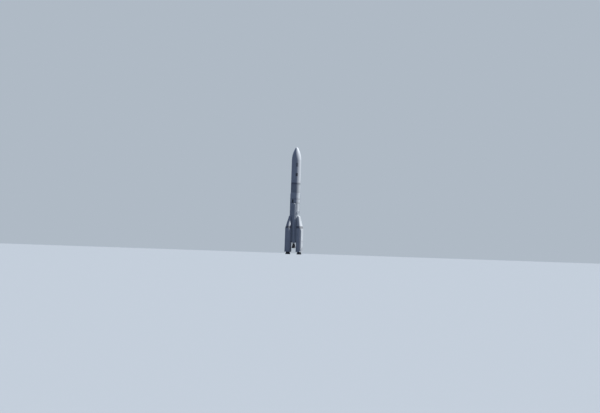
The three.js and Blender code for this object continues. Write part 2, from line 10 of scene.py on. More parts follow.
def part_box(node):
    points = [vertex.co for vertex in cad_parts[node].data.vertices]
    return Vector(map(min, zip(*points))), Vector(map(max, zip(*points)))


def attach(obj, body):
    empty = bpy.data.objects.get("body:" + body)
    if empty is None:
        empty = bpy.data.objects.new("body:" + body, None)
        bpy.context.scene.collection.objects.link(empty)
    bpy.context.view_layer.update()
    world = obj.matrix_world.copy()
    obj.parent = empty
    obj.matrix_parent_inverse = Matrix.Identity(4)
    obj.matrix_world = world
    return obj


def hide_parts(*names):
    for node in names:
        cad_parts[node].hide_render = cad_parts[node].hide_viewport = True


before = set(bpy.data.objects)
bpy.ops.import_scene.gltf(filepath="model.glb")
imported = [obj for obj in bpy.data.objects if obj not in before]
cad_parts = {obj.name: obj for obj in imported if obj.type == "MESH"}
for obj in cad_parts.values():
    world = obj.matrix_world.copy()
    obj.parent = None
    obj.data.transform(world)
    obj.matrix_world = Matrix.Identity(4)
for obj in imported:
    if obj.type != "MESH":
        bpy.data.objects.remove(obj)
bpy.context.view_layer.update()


# Sizes from the frame, in metres of the half-size model

def levels(node):
    """Lowest and highest height of a CAD node."""
    low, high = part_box(node)
    return low[2], high[2]


def top(node):
    return levels(node)[1]


def middle(node):
    return sum(levels(node)) / 2


FULL_TURN = 2 * pi
CORE_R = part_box("lower_tank")[1][0]
CASE_LOW, CASE_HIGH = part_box("booster_3_motor_case")
BELT_PROUD = 0.03
BOOSTER_R = (CASE_HIGH[0] - CASE_LOW[0]) / 2 - BELT_PROUD
BOOSTER_RING_R = (CASE_HIGH[0] + CASE_LOW[0]) / 2 * math.sqrt(2)
BOOSTER_ANGLES = (-135, -45, 45, 135)  # of boosters 1 to 4, in degrees from +X

CORE_BASE, BAY_TOP = levels("aft_bay")
STAGE_TOP = top("upper_stage_tank")
RING_TOP = top("fairing_ring")
ADAPTER_TOP = top("payload_adapter")
TIP = top("fairing_half_right")
ENGINE_PIVOT = middle("engine_gimbal_cross")
ENGINE_EXIT = levels("engine_nozzle")[0]

AFT_SKIRT_TOP = top("booster_1_aft_skirt")
CASE_TOP = top("booster_1_motor_case")
NOSE_RING_TOP = top("booster_1_nose_ring")
NOSE_TIP = top("booster_1_nose")
NOZZLE_EXIT = levels("booster_1_nozzle")[0]
PIVOT = middle("booster_1_gimbal_ring")
BELT_Z = middle("booster_1_aft_attachment")
FORWARD_Z = middle("booster_1_forward_attachment")

CORE_SIDES = 144
BOOSTER_SIDES = 96
SHARP_ANGLE = radians(32)


# Shapes

def outward(bm):
    """The same shape, all its faces turned outwards."""
    bmesh.ops.recalc_face_normals(bm, faces=bm.faces)
    return bm


def eased(bm, geometry, offset, segments=1, affect="EDGES"):
    """The same shape, with some of its edges or corners cut back."""
    bmesh.ops.bevel(
        bm, geom=geometry, offset=offset, segments=segments, profile=0.5, affect=affect,
        material=-1,
    )
    return bm


def turned(outline, sides=CORE_SIDES):
    """An outline of (radius, height) points, closed or from axis to axis, turned about Z."""
    bm = bmesh.new()
    verts = [bm.verts.new((radius, 0, height)) for radius, height in outline]
    edges = [bm.edges.new(pair) for pair in zip(verts, verts[1:])]
    if outline[0][0] > 0:
        edges.append(bm.edges.new((verts[-1], verts[0])))
    bmesh.ops.spin(
        bm, geom=verts + edges, cent=(0, 0, 0), axis=(0, 0, 1), angle=FULL_TURN, steps=sides,
        use_merge=True,
    )
    bmesh.ops.remove_doubles(bm, verts=bm.verts, dist=1e-6)
    return outward(bm)


def stepped(radius, height, *steps):
    """Outline points given as steps outwards and upwards from a radius and a height."""
    return [(radius + out, height + up) for out, up in steps]


def arc(centre_r, centre_z, radius, start, end, steps):
    """Outline points along an arc, both of its ends among them."""
    angles = [start + (end - start) * i / steps for i in range(steps + 1)]
    return [(centre_r + radius * cos(a), centre_z + radius * sin(a)) for a in angles]


def polar(radius, angle, height=0):
    """The point at a radius and an angle about the Z axis."""
    return radius * cos(angle), radius * sin(angle), height


def placed(bm, matrix):
    bmesh.ops.transform(bm, matrix=matrix, verts=bm.verts)
    return bm


def facing(bm, degrees):
    """Turned about the Z axis, away from +X."""
    return placed(bm, Matrix.Rotation(radians(degrees), 4, "Z"))


def gathered(*parts):
    """One mesh of several, each left as it is."""
    whole = bmesh.new()
    for part in parts:
        held = bpy.data.meshes.new("held")
        part.to_mesh(held)
        part.free()
        whole.from_mesh(held)
        bpy.data.meshes.remove(held)
    return whole


def around(bm, count):
    """The shape repeated evenly around the Z axis."""
    bmesh.ops.spin(
        bm, geom=bm.verts[:] + bm.edges[:] + bm.faces[:], cent=(0, 0, 0), axis=(0, 0, 1),
        angle=FULL_TURN * (count - 1) / count, steps=count - 1, use_duplicate=True,
    )
    return bm


def block(low, high, chamfer=0.003):
    """A block between two corners, its edges eased."""
    low, high = Vector(low), Vector(high)
    bm = bmesh.new()
    size = Matrix.Diagonal((*(high - low), 1))
    bmesh.ops.create_cube(bm, size=1, matrix=Matrix.Translation((low + high) / 2) @ size)
    return eased(bm, bm.edges[:], chamfer) if chamfer else bm


def rod(start, end, radius, sides=24, chamfer=0.0):
    """A round bar between two points."""
    start, end = Vector(start), Vector(end)
    along = end - start
    bm = bmesh.new()
    turn = along.to_track_quat("Z", "Y").to_matrix().to_4x4()
    bmesh.ops.create_cone(
        bm, cap_ends=True, segments=sides, radius1=radius, radius2=radius, depth=along.length,
        matrix=Matrix.Translation((start + end) / 2) @ turn,
    )
    rims = [edge for edge in bm.edges if any(len(face.verts) > 4 for face in edge.link_faces)]
    return eased(bm, rims, chamfer) if chamfer else bm


def bent_tube(path, radius):
    """A round tube along a smooth path, its ends closed."""
    curve = bpy.data.curves.new("tube", "CURVE")
    curve.dimensions = "3D"
    curve.bevel_depth = radius
    curve.bevel_resolution = 4
    curve.use_fill_caps = True
    spline = curve.splines.new("BEZIER")
    spline.bezier_points.add(len(path) - 1)
    for point, place in zip(spline.bezier_points, path):
        point.co = place
        point.handle_left_type = point.handle_right_type = "AUTO"
    holder = bpy.data.objects.new("tube", curve)
    mesh = bpy.data.meshes.new_from_object(holder)
    bm = bmesh.new()
    bm.from_mesh(mesh)
    bpy.data.objects.remove(holder)
    bpy.data.curves.remove(curve)
    bpy.data.meshes.remove(mesh)
    bmesh.ops.remove_doubles(bm, verts=bm.verts, dist=1e-6)
    return outward(bm)


def wrapped(bm, radius, degrees, height):
    """A flat shape in X and Z, standing proud along -Y, bent round a drum of the radius."""
    for vert in bm.verts:
        angle = radians(degrees) + vert.co.x / radius
        vert.co = polar(radius - vert.co.y, angle, height + vert.co.z)
    return outward(bm)


def cut(bm, point, normal, clear=False):
    """The shape with a plane cut through it; what lies behind the plane can be cleared away."""
    bmesh.ops.bisect_plane(
        bm, geom=bm.verts[:] + bm.edges[:] + bm.faces[:], plane_co=point, plane_no=normal,
        clear_inner=clear,
    )
    return bm


def halved(bm, point, normal):
    """What lies on the normal's side of a plane, closed where it was cut."""
    cut(bm, point, normal, clear=True)
    bmesh.ops.holes_fill(bm, edges=[edge for edge in bm.edges if edge.is_boundary], sides=0)
    return outward(bm)


def sliced(bm, width, strips):
    """Cut into upright strips, so that it can be bent round a drum."""
    for i in range(1, strips):
        cut(bm, (width * (i / strips - 0.5), 0, 0), (1, 0, 0))
    return bm


def plate(width, height, proud, sunk=0.01, corner=0.03, strips=6):
    """A flat plate with round corners, to be wrapped on a drum."""
    bm = bmesh.new()
    matrix = Matrix.Rotation(pi / 2, 4, "X") @ Matrix.Diagonal((width, height, 1, 1))
    bmesh.ops.create_grid(bm, x_segments=1, y_segments=1, size=0.5, matrix=matrix)
    eased(bm, bm.verts[:], min(corner, height / 3, width / 3), 3, "VERTICES")
    sliced(bm, width, strips)
    bmesh.ops.translate(bm, verts=bm.verts, vec=(0, sunk, 0))
    grown = bmesh.ops.extrude_face_region(bm, geom=bm.faces[:])
    front = [item for item in grown["geom"] if isinstance(item, bmesh.types.BMVert)]
    bmesh.ops.translate(bm, verts=front, vec=(0, -sunk - proud, 0))
    return outward(bm)


def cover(width, height, proud, rounding, slope=0.0, strips=6):
    """A raised cover, round along its outer edges and sloped at its ends, to be wrapped."""
    bm = block((-width / 2, -proud, -height / 2), (width / 2, 0.012, height / 2), chamfer=0)
    for vert in bm.verts:
        if vert.co.y < 0:
            vert.co.z -= math.copysign(slope, vert.co.z)
    rim = [edge for edge in bm.edges if all(vert.co.y < 0 for vert in edge.verts)]
    return sliced(eased(bm, rim, rounding, 4), width, strips)


def laid(place, *shapes):
    """Flat shapes bent round a drum about one point: its radius, degrees and height."""
    return [wrapped(shape, *place) for shape in shapes]


def spaced(low, high, count):
    """Evenly spread over a span, half a step in from both of its ends."""
    return [low + (high - low) * (i + 0.5) / count for i in range(count)]


def head(radius, degrees, height, size=0.008, proud=0.005):
    """One fastener head on a drum."""
    return facing(rod((radius - proud, 0, height), (radius + proud, 0, height), size, 6), degrees)


def hatch(radius, degrees, height, width, tall, corner=0.05):
    """A door in a raised frame, with screws along both of its sides."""
    parts = laid(
        (radius, degrees, height), plate(width, tall, 0.004, corner=corner),
        plate(width - 0.05, tall - 0.05, 0.008, corner=corner - 0.01),
    )
    reach = math.degrees((width / 2 - 0.013) / radius)
    for side in (-1, 1):
        for share in (-0.6, -0.2, 0.2, 0.6):
            parts.append(head(radius + 0.004, degrees + side * reach, height + share * tall / 2))
    return gathered(*parts)


def studs(radius, height, count, size=0.006, proud=0.005):
    """A ring of fastener heads around a drum."""
    return around(head(radius, 0, height, size, proud), count)


def ribs(radius, low, high, count, width, proud, start=0.0):
    """Upright ribs around a drum, with sloped ends."""
    slope = min(0.03, (high - low) / 6)
    rib = block((radius - 0.006, -width / 2, low), (radius + proud, width / 2, high), chamfer=0)
    for vert in rib.verts:
        if vert.co.x > radius:
            vert.co.z += slope if vert.co.z < (low + high) / 2 else -slope
            vert.co.y *= 0.6
    return around(facing(rib, start), count)


def band(radius, low, high, proud, sides=CORE_SIDES):
    """A flat hoop around a drum, its edges eased."""
    ease = min(0.002, proud / 2)
    inner = radius - 0.01
    return turned([
        (inner, low), (radius + proud - ease, low), (radius + proud, low + ease),
        (radius + proud, high - ease), (radius + proud - ease, high), (inner, high),
    ], sides)


def mesh_of(name, bm, material):
    mesh = bpy.data.meshes.new(name)
    bm.to_mesh(mesh)
    bm.free()
    mesh.materials.append(material)
    return mesh


def added(name, data):
    """A new object, linked to the scene."""
    made = bpy.data.objects.new(name, data)
    bpy.context.scene.collection.objects.link(made)
    return made


def piece(name, shape, material, body="root", replaces=()):
    """A finished piece: smooth where it is round, sharp at its edges, riding on its body."""
    bm = gathered(*shape) if isinstance(shape, list) else shape
    for edge in bm.edges:
        if len(edge.link_faces) == 2:
            edge.smooth = edge.calc_face_angle(0) < SHARP_ANGLE
    for face in bm.faces:
        face.smooth = True
    made = added(name, mesh_of(name, bm, material))
    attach(made, body)
    if replaces:
        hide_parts(*replaces)


# Materials

class Tree:
    """The nodes of one shader tree, made and wired by short calls."""

    def __init__(self, tree):
        self.tree = tree

    def feed(self, socket, value):
        if isinstance(value, bpy.types.NodeSocket):
            self.tree.links.new(value, socket)
        else:
            socket.default_value = value

    def add(self, kind, sockets=None, **settings):
        """The outputs of a new node."""
        node = self.tree.nodes.new("ShaderNode" + kind)
        for key, value in settings.items():
            setattr(node, key, value)
        for socket, value in (sockets or {}).items():
            self.feed(node.inputs[socket], value)
        return node.outputs

    def math(self, operation, first, second=0.0):
        return self.add("Math", {0: first, 1: second}, operation=operation)[0]

    def times(self, first, second):
        return self.math("MULTIPLY", first, second)

    def swell(self, value):
        """Humps between the points where the value's sine is zero."""
        return self.math("ABSOLUTE", self.math("SINE", value))

    def mix(self, factor, first, second):
        return self.add("Mix", {0: factor, 6: first, 7: second}, data_type="RGBA")[2]

    def spread(self, value, low, high, to_low=0.0, to_high=1.0):
        return self.add("MapRange", {
            "Value": value, "From Min": low, "From Max": high,
            "To Min": to_low, "To Max": to_high,
        })[0]

    def noise(self, vector, scale, detail=4.0, roughness=0.55):
        return self.add("TexNoise", {
            "Vector": vector, "Scale": scale, "Detail": detail, "Roughness": roughness,
        })[0]

    def turn_and_height(self, vector):
        """Angle about the Z axis, and height."""
        parts = self.add("SeparateXYZ", {"Vector": vector})
        return self.math("ARCTAN2", parts["Y"], parts["X"]), parts["Z"]

    def group(self, group, **sockets):
        return self.add("Group", sockets, node_tree=group)


def solid(colour, tone=1):
    return (*(channel * tone for channel in colour), 1)


SOCKET_KINDS = {"Position": "Vector", "Paint": "Color", "Grime": "Color", "Color": "Color"}


def effect(inputs, outputs):
    """Makes the function below it into a node group, which several finishes share."""
    inputs, outputs = inputs.split(), outputs.split()

    def build(wire):
        group = bpy.data.node_groups.new(wire.__name__, "ShaderNodeTree")
        for direction, labels in (("INPUT", inputs), ("OUTPUT", outputs)):
            for label in labels:
                kind = "NodeSocket" + SOCKET_KINDS.get(label, "Float")
                group.interface.new_socket(name=label, in_out=direction, socket_type=kind)
        given = group.nodes.new("NodeGroupInput").outputs
        tree = Tree(group)
        results = wire(tree, *(given[label] for label in inputs))
        for socket, value in zip(group.nodes.new("NodeGroupOutput").inputs, results):
            tree.feed(socket, value)
        return group
    return build


@effect("Position Paint Grime Patches Streaks Smooth", "Color Roughness")
def weathering(tree, place, paint, grime, patches, streaks, smooth):
    """Paint that has stood outdoors: soft patches of tone and thin streaks down the wall."""
    tone = tree.spread(tree.noise(place, 0.9), 0.35, 0.65)
    fine = tree.spread(tree.noise(place, 14, 5), 0.3, 0.7)
    upright = tree.add("Mapping", {"Vector": place, "Scale": (11, 11, 0.45)})[0]
    mask = tree.times(tree.spread(tree.noise(upright, 1, 3), 0.5, 0.78), streaks)
    patch = tree.times(tree.times(tone, fine), patches)
    rough = tree.math("ADD", smooth, tree.spread(fine, 0, 1, -0.07, 0.09))
    return (
        tree.mix(mask, tree.mix(patch, paint, grime), grime),
        tree.math("ADD", rough, tree.times(mask, 0.2)),
    )


@effect("Position Columns Pitch", "Shade Seam")
def sheet_tone(tree, place, columns, pitch):
    """A slightly different shade on each sheet of a drum's skin, and fine lines between them."""
    angle, height = tree.turn_and_height(place)
    share = tree.math("ADD", tree.math("DIVIDE", angle, FULL_TURN), 0.5)
    column = tree.times(share, columns)
    row = tree.math("DIVIDE", height, pitch)
    cell = tree.add("CombineXYZ", {
        "X": tree.math("FLOOR", column), "Y": tree.math("FLOOR", row), "Z": 0.0,
    })[0]

    def line(value, width):
        edge = tree.math("ABSOLUTE", tree.math("SUBTRACT", tree.math("FRACT", value), 0.5))
        return tree.spread(edge, 0.5 - width, 0.5)

    return (
        tree.add("TexWhiteNoise", {"Vector": cell}, noise_dimensions="3D")["Value"],
        tree.math("MAXIMUM", line(column, 0.012), line(row, 0.006)),
    )


@effect("Position Scale Lumps", "Height")
def grain(tree, place, scale, lumps):
    """Fine relief: sprayed paint, foam or cast skin, by its scale and depth."""
    coarse = tree.times(tree.noise(place, tree.times(scale, 0.16), 2), lumps)
    return (tree.math("ADD", tree.noise(place, scale, 3), coarse),)


@effect("Position Scale", "Mask Height")
def lathe_marks(tree, place, scale):
    """Fine rings and long scratches of turned or rolled metal."""
    flat = tree.add("Mapping", {"Vector": place, "Scale": (0.4, 0.4, 14)})[0]
    marks = tree.noise(flat, scale, 5, 0.7)
    return tree.times(tree.spread(marks, 0.3, 0.7), tree.noise(place, 5, 4)), marks


@effect("Position Bundles Pitch", "Mask Height")
def weave(tree, place, bundles, pitch):
    """Woven cloth laid round a cone or drum: bundles that pass over and under."""
    angle, height = tree.turn_and_height(place)
    turn = tree.times(angle, tree.math("DIVIDE", bundles, 2))
    climb = tree.math("DIVIDE", tree.times(height, pi), pitch)
    left, right = tree.math("ADD", turn, climb), tree.math("SUBTRACT", turn, climb)
    crossing = tree.times(tree.math("SINE", left), tree.math("SINE", right))
    return (
        tree.spread(crossing, -0.3, 0.3),
        tree.math("ADD", tree.swell(left), tree.swell(right)),
    )


GRIME = (0.33, 0.32, 0.30, 1)


def material_of(name):
    """A new material, its tree and the position on the piece."""
    material = bpy.data.materials.new(name)
    material.use_nodes = True
    tree = Tree(material.node_tree)
    return material, tree, tree.add("TexCoord")["Object"]


def finished(material, tree, colour, roughness, height, depth, metallic=0.0):
    """The material, with colour, roughness and relief wired to its main shader."""
    shader = material.node_tree.nodes["Principled BSDF"].inputs
    bump = tree.add("Bump", {"Height": height, "Distance": depth, "Strength": 1.0})[0]
    tree.feed(shader["Base Color"], colour)
    tree.feed(shader["Roughness"], roughness)
    tree.feed(shader["Metallic"], metallic)
    tree.feed(shader["Normal"], bump)
    return material


def about_axis(tree, place, centre, lean=None):
    """The position from a drum's own axis, or from one that leans above the motor case."""
    shifted = tree.add("VectorMath", {0: place, 1: centre}, operation="SUBTRACT")[0]
    if not lean:
        return shifted
    height = tree.math("SUBTRACT", tree.turn_and_height(place)[1], CASE_TOP)
    return tree.add(
        "VectorMath", {0: height, 1: lean, 2: shifted}, operation="MULTIPLY_ADD",
    )[0]


def painted(name, colour, smooth=0.5, patches=0.1, streaks=0.2, scale=160, lumps=0.0,
            depth=0.0006, sheets=None, centre=(0, 0, 0), lean=None):
    """Weathered paint over sheet metal, composite or foam; sheets: how many round, how tall."""
    material, tree, place = material_of(name)
    paint = solid(colour)
    texture = tree.group(grain, Position=place, Scale=scale, Lumps=lumps)["Height"]
    if sheets:
        shifted = about_axis(tree, place, centre, lean)
        skin = tree.group(sheet_tone, Position=shifted, Columns=sheets[0], Pitch=sheets[1])
        paint = tree.mix(skin["Shade"], paint, solid(colour, 0.9))
        paint = tree.mix(tree.times(skin["Seam"], 0.35), paint, GRIME)
        texture = tree.math("SUBTRACT", texture, tree.times(skin["Seam"], 2.0))
    wear = tree.group(
        weathering, Position=place, Paint=paint, Grime=GRIME, Patches=patches, Streaks=streaks,
        Smooth=smooth,
    )
    return finished(material, tree, wear["Color"], wear["Roughness"], texture, depth)


def metal(name, colour, dull, roughness=0.38):
    """Turned or rolled metal with fine marks and dull blotches."""
    material, tree, place = material_of(name)
    lines = tree.group(lathe_marks, Position=place, Scale=60)
    mask = lines["Mask"]
    rough = tree.spread(mask, 0, 0.6, roughness, roughness + 0.25)
    tone = tree.mix(mask, solid(colour), solid(dull))
    return finished(material, tree, tone, rough, lines["Height"], 0.0004, 0.95)


def heat_tinted(name, base, colours, height):
    """Nickel alloy browned and blued by heat, with the lines of its cooling channels."""
    material, tree, place = material_of(name)
    angle, up = tree.turn_and_height(place)
    share = tree.math("DIVIDE", tree.math("SUBTRACT", up, base), height)
    wander = tree.spread(tree.noise(place, 3.5, 4), 0.3, 0.7, -0.12, 0.12)
    ramp = tree.add("ValToRGB", {"Fac": tree.math("ADD", share, wander)})
    stops = ramp[0].node.color_ramp.elements
    while len(stops) < len(colours):
        stops.new(0.5)
    for i, colour in enumerate(colours):
        stops[i].position = i / (len(colours) - 1)
        stops[i].color = solid(colour)
    mask = tree.group(lathe_marks, Position=place, Scale=40)["Mask"]
    dusty = tree.mix(tree.times(mask, 0.5), ramp[0], (0.2, 0.18, 0.16, 1))
    rough = tree.spread(mask, 0, 0.6, 0.32, 0.55)
    channels = tree.swell(tree.times(angle, 120))
    return finished(material, tree, dusty, rough, channels, 0.004, 0.9)


def woven(name, colour, sheen, bundles, pitch, centre=(0, 0, 0)):
    """Dark composite whose woven bundles show through its resin."""
    material, tree, place = material_of(name)
    shifted = about_axis(tree, place, centre)
    cloth = tree.group(weave, Position=shifted, Bundles=bundles, Pitch=pitch)
    dust = tree.spread(tree.noise(place, 4, 5), 0.45, 0.75)
    tone = tree.mix(cloth["Mask"], solid(colour), solid(sheen))
    tone = tree.mix(tree.times(dust, 0.3), tone, GRIME)
    rough = tree.spread(dust, 0, 1, 0.42, 0.7)
    return finished(material, tree, tone, rough, cloth["Height"], 0.0012)


def quilted(name, colour, pitch):
    """Heat-proof cloth stitched in squares over padding, with painted shade in its stitched
    creases.
    """
    material, tree, place = material_of(name)
    parts = tree.add("SeparateXYZ", {"Vector": place})
    across, along = (tree.swell(tree.times(parts[axis], pi / pitch)) for axis in "XY")
    pillow = tree.math("POWER", tree.times(across, along), 0.35)
    creases = tree.times(tree.noise(place, 26, 5), 0.35)
    stained = tree.spread(tree.noise(place, 2.2, 5), 0.4, 0.7)
    # Painted shade: the cloth is darkened towards the stitched creases, where the padding dips.
    shade = tree.mix(pillow, solid(colour, 0.55), solid(colour))
    tone = tree.mix(tree.times(stained, 0.4), shade, GRIME)
    return finished(material, tree, tone, 0.85, tree.math("ADD", pillow, creases), 0.012)


fairing_paint = painted(
    "fairing_paint", (0.78, 0.80, 0.83), 0.42, 0.10, 0.16, scale=220, sheets=(8, 1.9),
)
skin_paint = painted("skin_paint", (0.74, 0.77, 0.80), 0.48, 0.14, 0.3, sheets=(12, 1.1))
FOAM = {"smooth": 0.62, "patches": 0.2, "streaks": 0.3, "scale": 70, "lumps": 1.4, "depth": 0.0025}
foam_paint = painted("foam_paint", (0.71, 0.74, 0.77), sheets=(6, 1.65), **FOAM)
upper_foam_paint = painted("upper_foam_paint", (0.56, 0.585, 0.615), sheets=(6, 1.2), **FOAM)
ring_paint = painted("ring_paint", (0.40, 0.415, 0.44), patches=0.12, sheets=(12, 0.4))
band_paint = painted("band_paint", (0.075, 0.08, 0.09))
seal_paint = painted("seal_paint", (0.16, 0.165, 0.18), smooth=0.6, patches=0.15)
# Nose ring of the boosters: mid-grey, partly the ring's own tone and partly painted shade.
nose_ring_grey_and_painted_shade = painted("nose_ring_grey_and_painted_shade", (0.27, 0.275, 0.29))
duct_paint = painted("duct_paint", (0.70, 0.73, 0.76), 0.45, 0.15, 0.35)
bare_metal = metal("bare_metal", (0.50, 0.51, 0.53), (0.24, 0.24, 0.25))
bright_metal = metal("bright_metal", (0.66, 0.67, 0.70), (0.38, 0.38, 0.40), roughness=0.25)
copper_tone = metal("copper_tone", (0.46, 0.30, 0.20), (0.20, 0.13, 0.10), roughness=0.3)
bell_metal = heat_tinted(
    "bell_metal", ENGINE_EXIT,
    ((0.09, 0.08, 0.075), (0.19, 0.15, 0.12), (0.17, 0.17, 0.20), (0.36, 0.30, 0.24)), 1.3,
)
adapter_carbon = woven("adapter_carbon", (0.03, 0.03, 0.033), (0.07, 0.07, 0.075), 150, 0.03)
blanket_cloth = quilted("blanket_cloth", (0.60, 0.56, 0.48), 0.11)
liner_cloth = quilted("liner_cloth", (0.80, 0.79, 0.76), 0.30)


# Core: drums of both stages

RIM = 0.006  # how far the rims of the core's drums stand out


def drum(low, high):
    """A closed drum with a thin raised rim at each end."""
    rim = ((RIM - 0.002, 0), (RIM, 0.002), (RIM, 0.035), (0, 0.037))
    return turned([
        (0, low), *stepped(CORE_R, low, *rim),
        *stepped(CORE_R, high, *((out, -up) for out, up in reversed(rim))), (0, high),
    ])


# Node, paint, slot, number of hoops and of stringers
CORE_DRUMS = (
    ("lower_tank", foam_paint, "foam_white", 3, 0),
    ("intertank", skin_paint, "painted_white", 0, 108),
    ("upper_tank", foam_paint, "foam_white", 1, 0),
    ("forward_skirt", skin_paint, "painted_white", 0, 0),
    ("interstage", skin_paint, "painted_white", 2, 0),
    ("upper_stage_tank", upper_foam_paint, "foam_white", 1, 0),
)
# Degrees from +X, share of the drum's height, width and height of each door in a drum
CORE_DOORS = {
    "forward_skirt": [(turn, 0.5, 0.42, 0.5) for turn in (-45, 135)],
    "interstage": [(turn, 0.22, 0.34, 0.42) for turn in (-45, -135, 45, 135)],
}
for node, paint, slot, hoops, stringers in CORE_DRUMS:
    low, high = levels(node)
    parts = [drum(low, high)]
    for i in range(hoops):
        height = low + (high - low) * (i + 1) / (hoops + 1)
        parts.append(band(CORE_R, height - 0.012, height + 0.012, 0.003))
    if stringers:
        parts.append(ribs(CORE_R, low + 0.06, high - 0.06, stringers, 0.022, 0.014))
    for edge in (low + 0.018, high - 0.018):
        parts.append(studs(CORE_R + RIM, edge, 120))
    for turn, share, width, tall in CORE_DOORS.get(node, ()):
        parts.append(hatch(CORE_R, turn, low + (high - low) * share, width, tall))
    piece(f"{node}_skin", parts, paint, replaces=[node])

# Seals in the joints between the core's sections: height of the joint, edges from it, paint
for name, height, low, high, paint in (
    ("upper_stage", STAGE_TOP, -0.09, -0.002, seal_paint),
    ("interstage", top("interstage"), -0.05, 0.05, ring_paint),
    ("forward_skirt", top("forward_skirt"), -0.05, 0.05, seal_paint),
    ("upper_tank", top("upper_tank"), -0.05, 0.06, seal_paint),
):
    piece(f"{name}_top_seal", band(CORE_R, height + low, height + high, 0.009), paint)

# Fairing ring: a grey band with the clamp hoop that lets the fairing go
RING_R = CORE_R - 0.012
piece("fairing_ring_band", [
    turned([
        (0, STAGE_TOP), (RING_R, STAGE_TOP), (RING_R, RING_TOP - 0.02),
        (CORE_R - 0.02, RING_TOP), (0, RING_TOP),
    ]),
    band(RING_R, STAGE_TOP + 0.16, STAGE_TOP + 0.24, 0.012),
    studs(RING_R, STAGE_TOP + 0.08, 90, size=0.009),
    studs(RING_R, STAGE_TOP + 0.32, 90, size=0.009),
], ring_paint, replaces=["fairing_ring"])

# Engine bay: its ribbed wall, the thrust cone inside it and the ears on the cone's tip
BAY_R = CORE_R - 0.06  # inner side of the wall
BAY_ROOF = CORE_BASE + 0.85
CONE_TIP = CORE_BASE + 0.435
piece("engine_bay_wall", [
    turned([
        (0, CONE_TIP), (0.15, CONE_TIP), (0.42, BAY_ROOF), (BAY_R, BAY_ROOF),
        *stepped(BAY_R, CORE_BASE, (0, 0.003), (0.003, 0)),
        *stepped(CORE_R, CORE_BASE, (RIM, 0), (0.008, 0.05), (0, 0.055)),
        *stepped(CORE_R, BAY_TOP, (0, -0.04), (RIM, -0.035), (RIM, 0)), (0, BAY_TOP),
    ]),
    ribs(CORE_R, CORE_BASE + 0.12, BAY_TOP - 0.12, 72, 0.02, 0.012, start=2.5),
    studs(CORE_R + RIM, CORE_BASE + 0.025, 120),
    studs(CORE_R + RIM, BAY_TOP - 0.018, 120),
    around(block((0.08, -0.05, ENGINE_PIVOT - 0.045), (0.12, 0.05, CONE_TIP + 0.03)), 2),
], skin_paint, replaces=["aft_bay"])

# Heat shield: quilted cloth with a bound edge around the engine
SHIELD_LOW, SHIELD_HIGH = levels("base_heat_shield")
SHIELD_HOLE = 0.62
shield = turned([
    *stepped(SHIELD_HOLE, SHIELD_LOW, (0, 0.012), (0.02, 0)),
    *stepped(BAY_R, SHIELD_LOW, (-0.02, 0), (-0.001, 0.01)),
    (BAY_R - 0.001, SHIELD_HIGH), (SHIELD_HOLE, SHIELD_HIGH),
])
piece("heat_shield_quilt", shield, blanket_cloth, replaces=["base_heat_shield"])


# Engine

z = ENGINE_PIVOT
piece("gimbal_cross_forging", [
    block((-0.045, -0.045, z - 0.045), (0.045, 0.045, z + 0.045), 0.008),
    rod((-0.125, 0, z), (0.125, 0, z), 0.028, chamfer=0.003),
    rod((0, -0.125, z), (0, 0.125, z), 0.028, chamfer=0.003),
], bright_metal, body="engine_cross", replaces=["engine_gimbal_cross"])

ENGINE_TOP = ENGINE_PIVOT - 0.12
CHAMBER_LOW = ENGINE_PIVOT - 0.55
PUMP_TOP = ENGINE_PIVOT - 0.16
PUMP_LOW = ENGINE_PIVOT - 0.65
PUMP_X = 0.31

# A pump is a stack of casings with a volute round its lower half, on a bracket
pump = gathered(
    turned([
        *stepped(
            0, PUMP_LOW, (0, 0), (0.075, 0), (0.078, 0.02), (0.105, 0.04), (0.105, 0.07),
            (0.085, 0.085), (0.11, 0.12), (0.11, 0.2), (0.08, 0.225), (0.08, 0.3), (0.1, 0.315),
            (0.1, 0.36), (0.07, 0.385),
        ),
        (0.06, PUMP_TOP - 0.02), (0.04, PUMP_TOP), (0, PUMP_TOP),
    ], 40),
    around(rod((0.093, 0, PUMP_LOW + 0.03), (0.093, 0, PUMP_LOW + 0.08), 0.006, 8), 16),
)
bracket = block((0.1, -0.05, PUMP_TOP - 0.2), (PUMP_X, 0.05, PUMP_TOP - 0.11), 0.008)
piece("engine_powerhead", [
    turned([
        *stepped(
            0, CHAMBER_LOW, (0, 0), (0.115, 0), (0.115, 0.012), (0.096, 0.016), (0.098, 0.04),
            (0.138, 0.11), (0.14, 0.2), (0.15, 0.205), (0.15, 0.225), (0.14, 0.23),
        ),
        *stepped(0, ENGINE_TOP, (0.14, -0.13), (0.175, -0.115), (0.175, -0.03), (0.13, 0), (0, 0)),
    ], 48),
    around(rod((0.158, 0, ENGINE_TOP - 0.12), (0.158, 0, ENGINE_TOP - 0.01), 0.008, 8), 20),
    around(block((-0.05, 0.08, ENGINE_TOP - 0.03), (0.05, 0.12, ENGINE_PIVOT + 0.04), 0.006), 2),
    around(gathered(placed(pump, Matrix.Translation((PUMP_X, 0, 0))), bracket), 2),
], bare_metal, body="core_engine", replaces=["engine_chamber"])

# Feed pipes between the pumps and the chamber's dome
pipes = gathered(
    bent_tube([
        (PUMP_X, 0.09, PUMP_LOW + 0.16), (PUMP_X, 0.19, PUMP_LOW + 0.2),
        (0.2, 0.23, PUMP_LOW + 0.33), (0.06, 0.2, ENGINE_TOP - 0.1),
        (0.03, 0.14, ENGINE_TOP - 0.06),
    ], 0.028),
    bent_tube([
        (PUMP_X, -0.06, PUMP_LOW + 0.34), (PUMP_X - 0.03, -0.13, PUMP_LOW + 0.38),
        (0.17, -0.16, PUMP_LOW + 0.26), (0.1, -0.1, CHAMBER_LOW + 0.14),
    ], 0.02),
)
piece("engine_feed_pipes", around(pipes, 2), bright_metal, body="core_engine")


